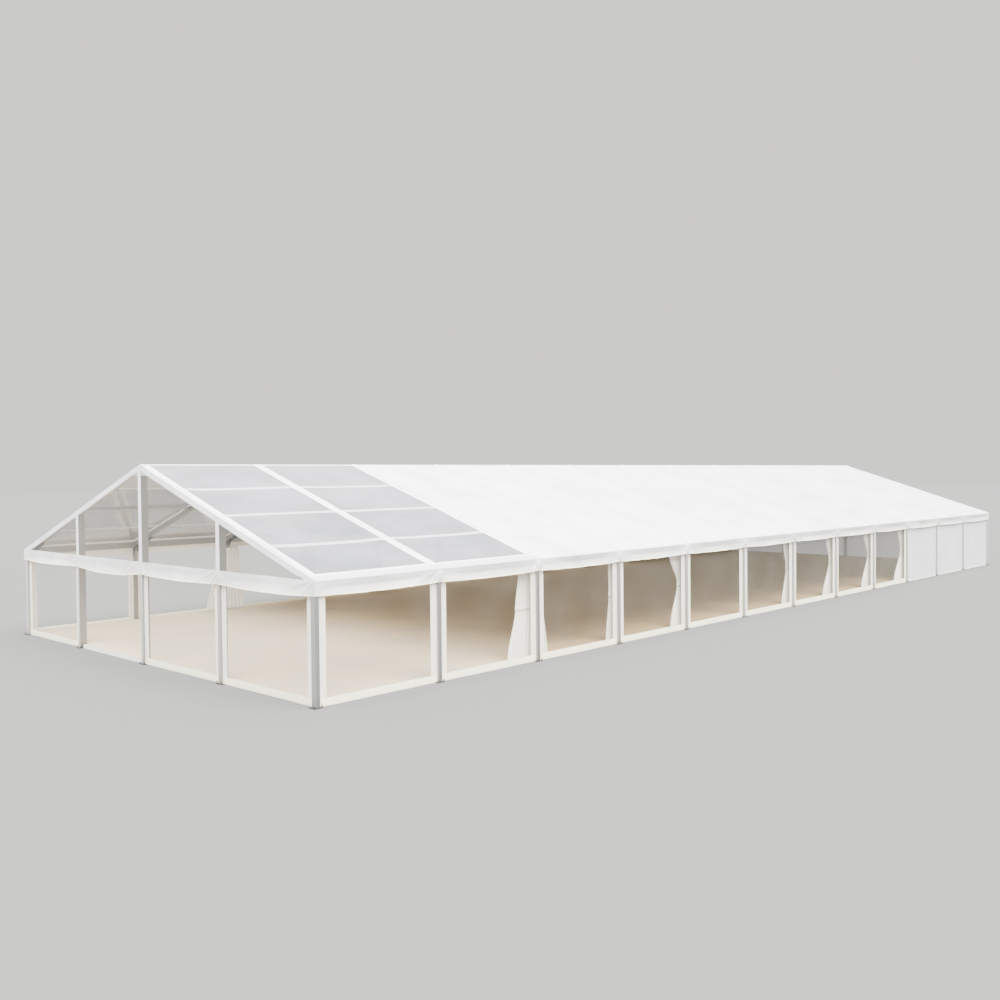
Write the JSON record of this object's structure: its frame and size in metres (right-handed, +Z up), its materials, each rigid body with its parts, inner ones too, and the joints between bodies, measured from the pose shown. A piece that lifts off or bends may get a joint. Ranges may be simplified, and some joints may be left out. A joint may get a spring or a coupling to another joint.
{
  "type": "frame marquee tent",
  "caption": "Long gabled frame marquee on aluminium portal frames, with clear film over its front bays, film windows with tied ivory curtains along its sides, and an open entrance bay.",
  "frame": {"origin": "middle of the footprint at ground level", "axes": "+X across the width towards the long side that the picture shows, +Y along the length away from the clear front gable, +Z up"},
  "size_m": [13.06, 36.208, 4.4766],
  "materials": {
    "aluminium": "anodised, satin",
    "white_cloth": "coated polyester cloth, semi-gloss",
    "clear_film": "clear flexible film, glossy",
    "ivory_cloth": "soft matt drape",
    "carpet": "needle-felt over boards"
  },
  "bodies": {
    "root": {"floor": "carpet", "front_gable_frame": "aluminium", "front_gable_infill": "clear_film", "front_valance": "white_cloth", "front_window_film": "clear_film", "front_window_wall": "white_cloth", "left_closed_wall": "white_cloth", "left_eave_purlin": "aluminium", "left_front_curtains": "ivory_cloth", "left_mid_purlin": "aluminium", "left_rear_curtains": "ivory_cloth", "left_valance": "white_cloth", "left_window_film": "clear_film", "left_window_wall": "white_cloth", "portal_frame_01": "aluminium", "portal_frame_02": "aluminium", "portal_frame_03": "aluminium", "portal_frame_04": "aluminium", "portal_frame_05": "aluminium", "portal_frame_06": "aluminium", "portal_frame_07": "aluminium", "portal_frame_08": "aluminium", "portal_frame_09": "aluminium", "portal_frame_10": "aluminium", "portal_frame_11": "aluminium", "portal_frame_12": "aluminium", "portal_frame_13": "aluminium", "rear_gable_frame": "aluminium", "rear_gable_infill": "white_cloth", "rear_gable_wall": "white_cloth", "rear_valance": "white_cloth", "ridge_purlin": "aluminium", "right_closed_wall": "white_cloth", "right_eave_purlin": "aluminium", "right_front_curtains": "ivory_cloth", "right_mid_purlin": "aluminium", "right_rear_curtains": "ivory_cloth", "right_valance": "white_cloth", "right_window_film": "clear_film", "right_window_wall": "white_cloth", "roof_panel_01": "clear_film", "roof_panel_02": "clear_film", "roof_panel_03": "white_cloth", "roof_panel_04": "white_cloth", "roof_panel_05": "white_cloth", "roof_panel_06": "white_cloth", "roof_panel_07": "white_cloth", "roof_panel_08": "white_cloth", "roof_panel_09": "white_cloth", "roof_panel_10": "white_cloth", "roof_panel_11": "white_cloth", "roof_panel_12": "white_cloth"}
  },
  "joints": []
}
